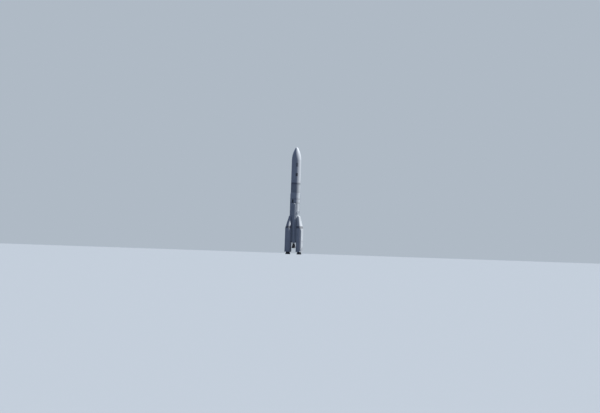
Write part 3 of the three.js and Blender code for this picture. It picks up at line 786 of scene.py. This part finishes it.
class Bell(namedtuple("Bell", "exit_z height exit_r taper curve power wall")):
    """A nozzle's wall, narrower from its exit upwards."""

    def radius_at(self, height):
        """Outer radius at a height above the exit."""
        share = min(height / self.height, 1)
        return self.exit_r - self.taper * share - self.curve * share ** self.power

    def outline(self, steps):
        """Down the inner side, then up the outer one."""
        rise = [self.height * i / steps for i in range(steps + 1)]
        inner = [(self.radius_at(h) - self.wall, self.exit_z + h) for h in reversed(rise)]
        return inner + [(self.radius_at(h), self.exit_z + h) for h in rise]

    def hoop(self, height, low, high, proud):
        return band(self.radius_at(height), self.exit_z + low, self.exit_z + high, proud, 96)


engine_nozzle = Bell(ENGINE_EXIT, 1.28, 0.55, 0.10, 0.26, 2.6, 0.02)
bell = turned([
    (0, CHAMBER_LOW - 0.06), *engine_nozzle.outline(12),
    *stepped(0, CHAMBER_LOW, (0.1, -0.03), (0.115, -0.02), (0.115, 0), (0, 0)),
], 120)
piece("engine_bell", bell, bell_metal, body="core_engine", replaces=["engine_nozzle"])

# Stiffening hoops on the bell, and the gas manifold with its two ducts
hoops = [
    engine_nozzle.hoop(h, h - 0.009, h + 0.012, 0.012) for h in (0.012, 0.16, 0.32, 0.48, 0.63)
]
piece("engine_bell_hoops", hoops, bare_metal, body="core_engine")
MANIFOLD_Z = ENGINE_EXIT + 0.91
exhaust = [
    turned(arc(0.405, MANIFOLD_Z, 0.05, 0, FULL_TURN, 16)[:-1], 96),
    around(bent_tube([
        (0.33, 0, PUMP_LOW + 0.02), (0.333, 0, PUMP_LOW - 0.06), (0.395, 0, PUMP_LOW - 0.24),
        (0.41, 0, MANIFOLD_Z),
    ], 0.045), 2),
]
piece("engine_gas_manifold", exhaust, copper_tone, body="core_engine")

# Payload adapter: carbon cone with a machined ring at each end
ADAPTER_LOW_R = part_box("payload_adapter")[1][0]
ADAPTER_TOP_R = 0.445
adapter = turned([
    (0, RING_TOP), *stepped(ADAPTER_LOW_R, RING_TOP, (-0.03, 0), (-0.04, 0.05)),
    *stepped(ADAPTER_TOP_R, ADAPTER_TOP, (0.01, -0.06), (-0.01, -0.03)), (0, ADAPTER_TOP - 0.03),
], 120)
piece("adapter_cone", adapter, adapter_carbon, replaces=["payload_adapter"])
piece("adapter_rings", [
    turned(stepped(
        ADAPTER_LOW_R, RING_TOP, (-0.06, 0), (0, 0), (0, 0.02), (-0.03, 0.05), (-0.06, 0.05),
    ), 120),
    turned([
        (0, ADAPTER_TOP - 0.06),
        *stepped(
            ADAPTER_TOP_R, ADAPTER_TOP, (0.004, -0.06), (0.004, -0.03), (-0.006, -0.025),
            (-0.006, -0.01), (0, 0), (-0.03, 0), (-0.035, -0.02),
        ),
        (0, ADAPTER_TOP - 0.02),
    ], 120),
    around(rod((ADAPTER_LOW_R - 0.015, 0, RING_TOP + 0.015),
               (ADAPTER_LOW_R - 0.015, 0, RING_TOP + 0.035), 0.008, 6), 72),
], bright_metal)

# Fairing: two half shells, lined inside. The nose is an ogive under a round cap, tangent to it.
FAIRING_LOW = RING_TOP + 0.005
FAIRING_WALL = 0.03
SPLIT_HALF = 0.0025
OGIVE_LENGTH = 4.1
CAP_BELOW = 0.6
OGIVE_R = (CORE_R ** 2 + OGIVE_LENGTH ** 2) / (2 * CORE_R)
CAP_ANGLE = math.asin((OGIVE_LENGTH - CAP_BELOW) / OGIVE_R)
CAP_R = (OGIVE_R * cos(CAP_ANGLE) + CORE_R - OGIVE_R) / cos(CAP_ANGLE)
OGIVE_FOOT = TIP - CAP_R * (1 - sin(CAP_ANGLE)) - (OGIVE_LENGTH - CAP_BELOW)


def nose_outline(inset):
    """The fairing's nose from its top down, inset from its outer skin."""
    cap = arc(0, TIP - CAP_R, CAP_R - inset, pi / 2, CAP_ANGLE, 10)
    ogive = arc(CORE_R - OGIVE_R, OGIVE_FOOT, OGIVE_R - inset, CAP_ANGLE, 0, 28)
    return [(0, TIP - inset), *cap[1:], *ogive[1:]]


def shell(outer, inner, low):
    """The fairing's wall between two insets, down to a height."""
    return turned([
        *nose_outline(inner), (CORE_R - inner, low), (CORE_R - outer, low),
        *reversed(nose_outline(outer)),
    ])


def split(bm, side, near=SPLIT_HALF):
    """The half of a shape on one side of the plane where the fairing parts."""
    return halved(bm, (side * near, 0, 0), (side, 0, 0))


def split_rail(side):
    """Raised strips on both sides of the half shell, along the plane where it parts."""
    rail = split(shell(-0.006, 0.006, FAIRING_LOW + 0.06), side, SPLIT_HALF + 0.006)
    rail = halved(rail, (side * 0.07, 0, 0), (-side, 0, 0))
    return halved(rail, (0, 0, TIP - 0.4), (0, 0, -1))


# Degrees from the middle of the half, height, width and height of each door in a half
FAIRING_DOORS = (
    (-22.5, 22.3, 0.5, 0.56), (67.5, 22.3, 0.5, 0.56), (22.5, 21.5, 0.4, 0.44),
    (-22.5, 25.4, 0.36, 0.36),
)
for name, side, mid in (("right", 1, 0), ("left", -1, 180)):
    body = f"fairing_{name}"
    parts = [
        split(shell(0, 0.012, FAIRING_LOW), side),
        split(band(CORE_R, FAIRING_LOW + 0.004, FAIRING_LOW + 0.05, 0.005), side),
        split(band(CORE_R, OGIVE_FOOT - 0.014, OGIVE_FOOT + 0.014, 0.003), side),
        split_rail(side),
    ]
    for turn in (-45, 0, 45):
        foot = plate(0.2, 0.03, 0.004, sunk=0.016, corner=0.004, strips=3)
        parts.append(wrapped(foot, CORE_R - 0.014, mid + turn, RING_TOP + 0.0155))
    for turn, height, width, tall in FAIRING_DOORS:
        parts.append(hatch(CORE_R, mid + turn, height, width, tall))
    for turn in (-75, -52, -15, 15, 52, 75):
        vent = plate(0.16, 0.1, 0.012, strips=3)
        parts.append(wrapped(vent, CORE_R, mid + turn, FAIRING_LOW + 0.75))
    parts += [head(CORE_R + 0.005, mid - 87.75 + 4.5 * i, FAIRING_LOW + 0.027) for i in range(40)]
    piece(f"{body}_skin", parts, fairing_paint, body, [f"fairing_half_{name}"])
    liner = split(shell(0.0125, FAIRING_WALL, FAIRING_LOW + 0.02), side)
    piece(f"{body}_liner", liner, liner_cloth, body)

# A strip inside the fairing that closes the slit between its halves to the light
seal = shell(FAIRING_WALL + 0.003, FAIRING_WALL + 0.011, FAIRING_LOW + 0.03)
for side in (-1, 1):
    seal = halved(seal, (side * 0.03, 0, 0), (-side, 0, 0))
piece("fairing_split_seal", seal, seal_paint, "fairing_right")

# Darker panels on the right half, beside the front line where the fairing parts
for name, paint, *place_and_size in (
    ("lower", seal_paint, -76, 22.42, 0.62, 0.92), ("upper", ring_paint, -75, 25.3, 0.68, 1.1),
):
    panel = hatch(CORE_R, *place_and_size, corner=0.03)
    piece(f"fairing_panel_{name}", panel, paint, "fairing_right")


# Long covers on the core's wall, in sections held by straps, and the umbilical plates

def long_cover(node, radius, degrees, half_angle, proud, slope, pitch):
    """A cover as tall as its node, the straps round it and the fasteners along both its feet."""
    low, high = levels(node)
    span, mid = high - low, (low + high) / 2
    width = 2 * radians(half_angle) * radius
    rounding = proud * 0.4
    foot = 0.035
    parts = laid(
        (radius, degrees, mid), cover(width, span, proud, rounding, slope),
        plate(width + 2 * foot, span, 0.006),
    )
    straps = int((span - 2 * slope - 0.2) // pitch)
    for i in range(straps):
        strap = cover(width + 0.016, 0.06, proud + 0.009, rounding + 0.006)
        parts.append(wrapped(strap, radius, degrees, mid + pitch * (i - (straps - 1) / 2)))
    reach = math.degrees((width / 2 + foot / 2) / radius)
    for height in spaced(low, high, int(span / 0.3)):
        parts += [head(radius + 0.006, degrees + side * reach, height) for side in (-1, 1)]
    return gathered(*parts)


FEED_LINE = (9, 0.19, 0.26, 1.15)  # half of its angle, how far out, slope of its ends, strap pitch
CABLE_DUCT = (4.5, 0.09, 0.12, 0.9)
for node, degrees, sizes in (
    ("feed_line_cover_front", -90, FEED_LINE), ("feed_line_cover_back", 90, FEED_LINE),
    ("cable_duct_right", 0, CABLE_DUCT), ("cable_duct_left", 180, CABLE_DUCT),
):
    shape = long_cover(node, CORE_R, degrees, *sizes)
    piece(f"{node}_shell", shape, duct_paint, replaces=[node])

UMBILICAL_WIDTH = 2 * radians(7) * CORE_R
for end, degrees, sockets in (("lower", -116, 3), ("upper", 64, 2)):
    node = f"umbilical_plate_{end}"
    low, high = levels(node)
    span = high - low
    parts = laid(
        (CORE_R, degrees, (low + high) / 2), cover(UMBILICAL_WIDTH, span, 0.03, 0.012, 0.015),
        plate(UMBILICAL_WIDTH - 0.06, span - 0.1, 0.034, corner=0.02),
        plate(UMBILICAL_WIDTH + 0.14, span + 0.14, 0.004, corner=0.06, strips=9),
    )
    for side in (-1, 1):
        turn = degrees + side * 2.6
        for height in spaced(low, high, sockets):
            parts.append(head(CORE_R + 0.034, turn, height, 0.045, 0.008))
            parts.append(head(CORE_R + 0.036, turn, height, 0.02, 0.009))
        parts += [head(CORE_R + 0.03, degrees + side * 5.9, z) for z in spaced(low, high, 6)]
    piece(f"{node}_sockets", parts, band_paint, replaces=[node])


# Boosters, each drawn with its axis at the origin and the core towards -X

NOSE_DRIFT = 0.58 / (NOSE_TIP - CASE_TOP)  # how far the nose leans in, for each metre up
NOSE_TOP_R = 0.325
NOSE_TOP_CENTRE = NOSE_TIP - NOSE_TOP_R
NOSE_ANGLE = (  # from upright to the cone's side, which the round top continues without a kink
    math.acos(NOSE_TOP_R / math.hypot(BOOSTER_R, NOSE_TOP_CENTRE - CASE_TOP))
    - math.atan2(NOSE_TOP_CENTRE - CASE_TOP, BOOSTER_R)
)
CONE_TOP = NOSE_TOP_CENTRE + NOSE_TOP_R * sin(NOSE_ANGLE)


def leaned(bm):
    """Leaned towards the core, more the higher it is above the motor case."""
    for vert in bm.verts:
        vert.co.x -= NOSE_DRIFT * max(vert.co.z - CASE_TOP, 0)
    return bm


def cone_radius(height):
    return BOOSTER_R - (height - CASE_TOP) * math.tan(NOSE_ANGLE)


def booster_nose():
    """The cone, its round top, the hoop between them and the fasteners of its foot."""
    cone = [NOSE_RING_TOP + (CONE_TOP - NOSE_RING_TOP) * i / 8 for i in range(8)]
    top_arc = arc(0, NOSE_TOP_CENTRE, NOSE_TOP_R, NOSE_ANGLE, pi / 2, 10)
    foot = NOSE_RING_TOP + 0.03
    return leaned(gathered(
        turned([
            (0, NOSE_RING_TOP), *((cone_radius(height), height) for height in cone),
            *top_arc[:-1], (0, NOSE_TIP),
        ], BOOSTER_SIDES),
        band(cone_radius(CONE_TOP), CONE_TOP - 0.02, CONE_TOP + 0.005, 0.004, BOOSTER_SIDES),
        studs(cone_radius(foot), foot, 60),
    ))


def nose_ring():
    return leaned(turned([
        (0, CASE_TOP), (cone_radius(CASE_TOP), CASE_TOP),
        (cone_radius(NOSE_RING_TOP), NOSE_RING_TOP), (0, NOSE_RING_TOP),
    ], BOOSTER_SIDES))


def motor_case():
    """The case with its joints, the attachment belt and the ears of the nozzle's gimbal."""
    joints = (AFT_SKIRT_TOP + 0.03, 4.9, CASE_TOP - 0.03)
    hoops = [(z - 0.02, z + 0.02, 0.007) for z in joints]
    hoops += [
        (BELT_Z - 0.06, BELT_Z - 0.03, BELT_PROUD), (BELT_Z + 0.03, BELT_Z + 0.06, BELT_PROUD),
        (BELT_Z - 0.03, BELT_Z + 0.03, 0.016),
    ]
    return gathered(
        turned([
            *stepped(0, PIVOT, (0, 0.115), (0.25, 0.115)), (0.70, AFT_SKIRT_TOP - 0.31),
            *stepped(BOOSTER_R, AFT_SKIRT_TOP, (-0.048, 0), (0, 0)),
            (BOOSTER_R, CASE_TOP), (0, CASE_TOP),
        ], BOOSTER_SIDES),
        *(band(BOOSTER_R, *hoop, BOOSTER_SIDES) for hoop in hoops),
        *(studs(BOOSTER_R + 0.007, z, 72) for z in joints),
        studs(BOOSTER_R + 0.016, BELT_Z, 48, size=0.01, proud=0.006),
        around(block((0.312, -0.045, PIVOT - 0.04), (0.342, 0.045, PIVOT + 0.3)), 2),
    )


def aft_skirt():
    """The skirt with its floor around the nozzle, its ribs and its four hold-down feet."""
    parts = [
        turned([
            (0.565, 0), *stepped(BOOSTER_R, 0, (-0.003, 0), (0, 0.003), (0, 0.06), (-0.006, 0.066)),
            *stepped(
                BOOSTER_R, AFT_SKIRT_TOP, (-0.006, -0.05), (0, -0.045), (0, 0), (-0.04, 0),
            ),
            (BOOSTER_R - 0.04, 0.045), (0.565, 0.045),
        ], BOOSTER_SIDES),
        ribs(BOOSTER_R - 0.006, 0.12, AFT_SKIRT_TOP - 0.12, 48, 0.018, 0.012),
        studs(BOOSTER_R, 0.03, 72), studs(BOOSTER_R, AFT_SKIRT_TOP - 0.022, 72),
    ]
    for turn in (-60, -20, 20, 60):
        foot = cover(2 * radians(5) * BOOSTER_R, 0.46, 0.055, 0.012, 0.15, strips=3)
        parts.append(halved(wrapped(foot, BOOSTER_R, turn, 0), (0, 0, 0), (0, 0, 1)))
        for side in (-2.6, 2.6):
            parts.append(head(BOOSTER_R + 0.055, turn + side, 0.04, 0.014, 0.004))
    return gathered(*parts)


def by_core(parts):
    """From the drawing of the core, with its axis at the origin, to that of a booster."""
    return placed(gathered(*parts), Matrix.Translation((-BOOSTER_RING_R, 0, 0)))


def lug(z, reach, half, tall, pin_x, pin_half, pin_r, chamfer):
    """A lug from the core to a booster, with the pin that holds it."""
    return [
        block(
            (CORE_R + 0.004, -half, z - tall), (BOOSTER_RING_R - reach + 0.012, half, z + tall),
            chamfer,
        ),
        rod((pin_x, -pin_half, z), (pin_x, pin_half, z), pin_r, chamfer=0.004),
    ]


def heads_on_core(turns, heights, size):
    return [head(CORE_R + 0.022, turn, z, size, 0.007) for turn in turns for z in heights]


def forward_attachment():
    z = FORWARD_Z
    return gathered(
        by_core([
            wrapped(plate(0.42, 0.34, 0.022, corner=0.06), CORE_R, 0, z),
            *lug(z, BOOSTER_R, 0.07, 0.08, 1.41, 0.085, 0.032, 0.01),
            *heads_on_core((-7, -4.5, 4.5, 7), (z - 0.12, z, z + 0.12), 0.014),
        ]),
        wrapped(plate(0.36, 0.3, 0.012, corner=0.05), BOOSTER_R, 180, z),
    )


def aft_attachment():
    """A long plate on the core, a lug, and a strut on each side with its turnbuckle and ends."""
    z = BELT_Z
    case_r = BOOSTER_R + BELT_PROUD
    parts = [
        wrapped(plate(1.26, 0.18, 0.022, corner=0.04, strips=18), CORE_R, 0, z),
        *lug(z, case_r, 0.06, 0.05, 1.39, 0.072, 0.028, 0.008),
        *heads_on_core((-25, -18, -11, -7, 7, 11, 18, 25), (z - 0.06, z + 0.06), 0.012),
    ]
    core_angle, case_angle = radians(22), radians(45)
    for side in (-1, 1):
        start = Vector(polar(CORE_R, side * core_angle, z))
        end = Vector((BOOSTER_RING_R, 0, 0)) + Vector(polar(-case_r, -side * case_angle, z))
        along = (end - start).normalized()
        parts += [
            rod(start, end, 0.026),
            rod(start.lerp(end, 0.36), start.lerp(end, 0.64), 0.034, 6, chamfer=0.004),
            rod(start, start + along * 0.1, 0.04, chamfer=0.006),
            rod(end - along * 0.09, end, 0.04, chamfer=0.006),
        ]
    return by_core(parts)


def gimbal_ring():
    return gathered(
        turned([
            *stepped(0.255, PIVOT, (0, -0.042), (0.003, -0.045), (0.042, -0.045), (0.045, -0.042)),
            *stepped(0.255, PIVOT, (0.045, 0.042), (0.042, 0.045), (0.003, 0.045), (0, 0.042)),
        ], 64),
        around(rod((0.26, 0, PIVOT), (0.345, 0, PIVOT), 0.022, chamfer=0.003), 4),
    )


booster_bell = Bell(NOZZLE_EXIT, 1.13, 0.56, 0.18, 0.165, 2, 0.028)


def booster_nozzle():
    return turned([
        (0, PIVOT - 0.19), *booster_bell.outline(10),
        *stepped(0, PIVOT, (0.345, -0.17), (0.345, -0.135), (0.18, -0.12), (0.18, 0.06), (0, 0.07)),
    ], 96)


def nozzle_fittings():
    return gathered(
        booster_bell.hoop(0.02, 0, 0.045, 0.008), booster_bell.hoop(0.4, 0.39, 0.42, 0.01),
        around(block((-0.045, 0.312, PIVOT - 0.15), (0.045, 0.342, PIVOT + 0.04)), 2),
    )


for number, degrees in enumerate(BOOSTER_ANGLES, start=1):
    prefix = f"booster_{number}"
    angle = radians(degrees)
    centre = polar(BOOSTER_RING_R, angle)
    paint, nose_paint = (
        painted(
            f"{prefix}_{name}", (0.74, 0.76, 0.78), 0.45, 0.15, 0.35, sheets=(4, 1.8),
            centre=centre, lean=lean,
        ) for name, lean in (("paint", None), ("nose_paint", polar(NOSE_DRIFT, angle)))
    )
    carbon = woven(
        f"{prefix}_nozzle_carbon", (0.035, 0.034, 0.034), (0.075, 0.072, 0.07), 90, 0.05, centre,
    )
    duct = long_cover("booster_1_cable_duct", BOOSTER_R, 0, 7, 0.07, 0.09, 0.8)
    place = Matrix.Translation(centre) @ Matrix.Rotation(angle, 4, "Z")
    for name, bm, material, slot, body, node in (
        ("nose_skin", booster_nose(), nose_paint, "painted_white", "", "nose"),
        ("nose_band", nose_ring(), nose_ring_grey_and_painted_shade, "band_grey", "", "nose_ring"),
        ("case_skin", motor_case(), paint, "painted_white", "", "motor_case"),
        ("skirt_skin", aft_skirt(), paint, "painted_white", "", "aft_skirt"),
        ("gimbal_hoop", gimbal_ring(), bare_metal, "bare_metal", "ring", "gimbal_ring"),
        ("nozzle_cone", booster_nozzle(), carbon, "carbon", "bell", "nozzle"),
        ("nozzle_fittings", nozzle_fittings(), bare_metal, "carbon", "bell", ""),
        ("duct_shell", duct, duct_paint, "painted_white", "", "cable_duct"),
        ("forward_joint", forward_attachment(), bare_metal, "bare_metal", "", "forward_attachment"),
        ("aft_joint", aft_attachment(), bare_metal, "bare_metal", "", "aft_attachment"),
    ):
        piece(
            f"{prefix}_{name}", placed(bm, place), material,
            f"{prefix}_{body}" if body else "root", [f"{prefix}_{node}"] if node else (),
        )

# Floor: it looks pale to the camera, lights the rocket less, and can't be seen from below
floor_bm = bmesh.new()
under_rocket = Matrix.Translation((0, 0, NOZZLE_EXIT - 0.005))
bmesh.ops.create_grid(floor_bm, x_segments=1, y_segments=1, size=9000, matrix=under_rocket)
pale_floor, tree, _ = material_of("pale_floor")
shader = pale_floor.node_tree.nodes["Principled BSDF"]
seen = tree.add("LightPath")["Is Camera Ray"]
tone = tree.mix(seen, (0.055, 0.065, 0.09, 1), (0.43, 0.455, 0.48, 1))
tree.feed(shader.inputs["Base Color"], tone)
shader.inputs["Roughness"].default_value = 0.9
under = tree.add("NewGeometry")["Backfacing"]
clear = tree.add("BsdfTransparent")[0]
choice = tree.add("MixShader", {0: under, 1: shader.outputs[0], 2: clear})[0]
tree.feed(pale_floor.node_tree.nodes["Material Output"].inputs["Surface"], choice)
floor = added("floor", mesh_of("floor", floor_bm, pale_floor))

# The photograph's frame, and where the rocket stands in it
IMAGE_WIDTH, IMAGE_HEIGHT = 600, 413
TIP_PIXEL = (296.95, 147.4)
LEAN = math.atan(0.034)  # the rocket's top leans to the right
METRES_PER_PIXEL = 0.2897
VIEW_ANGLE = radians(5.2)
LENS, SENSOR = 500, 36
CAMERA_HEIGHT = NOZZLE_EXIT + 0.4

right = Vector(polar(1, VIEW_ANGLE))
ahead = Vector((-right.y, right.x, 0))
to_middle = Vector((IMAGE_WIDTH / 2 - TIP_PIXEL[0], IMAGE_HEIGHT / 2 - TIP_PIXEL[1]))
down_axis = Vector((-sin(LEAN), cos(LEAN)))
across_axis = Vector((cos(LEAN), sin(LEAN)))
target = (
    Vector((0, 0, TIP - to_middle.dot(down_axis) * METRES_PER_PIXEL))
    + right * to_middle.dot(across_axis) * METRES_PER_PIXEL
)
distance = METRES_PER_PIXEL * IMAGE_WIDTH * LENS / SENSOR
eye = target - ahead * distance
eye.z = CAMERA_HEIGHT
camera_data = bpy.data.cameras.new("camera")
camera_data.lens = LENS
camera_data.sensor_width = SENSOR
camera_data.clip_start = 10
camera_data.clip_end = 4 * distance
look = (target - eye).normalized()
up = Vector((0, 0, 1)) * cos(LEAN) - right * sin(LEAN)
side_axis = look.cross(up).normalized()
turn = Matrix((side_axis, side_axis.cross(look), -look)).transposed().to_4x4()
camera = added("camera", camera_data)
camera.matrix_world = Matrix.Translation(eye) @ turn
scene = bpy.context.scene
scene.camera = camera

# A soft key from the right and slightly behind, and two weak fills: azimuth from +X and
# elevation in degrees, width in degrees, strength, colour
LAMPS = (
    ("key", 14, 50, 4, 5.3, (0.93, 0.97, 1.0)),
    ("front_fill", -118, 20, 60, 0.10, (0.62, 0.78, 1.0)),
    ("back_fill", 125, 25, 60, 0.30, (0.75, 0.86, 1.0)),
)
for name, azimuth, elevation, width, strength, colour in LAMPS:
    lamp_data = bpy.data.lights.new(name, "SUN")
    lamp_data.angle = radians(width)
    lamp_data.energy = strength
    lamp_data.color = colour
    up = radians(elevation)
    from_lamp = Vector(polar(cos(up), radians(azimuth), sin(up)))
    added(name, lamp_data).rotation_euler = (-from_lamp).to_track_quat("-Z", "Y").to_euler()

world = bpy.data.worlds.new("pale_air")
world.use_nodes = True
tree = Tree(world.node_tree)
seen = tree.add("LightPath")["Is Camera Ray"]
air = tree.mix(seen, (0.047, 0.070, 0.135, 1), (0.43, 0.49, 0.56, 1))
tree.feed(world.node_tree.nodes["Background"].inputs["Color"], air)
scene.world = world
scene.view_settings.view_transform = "Standard"
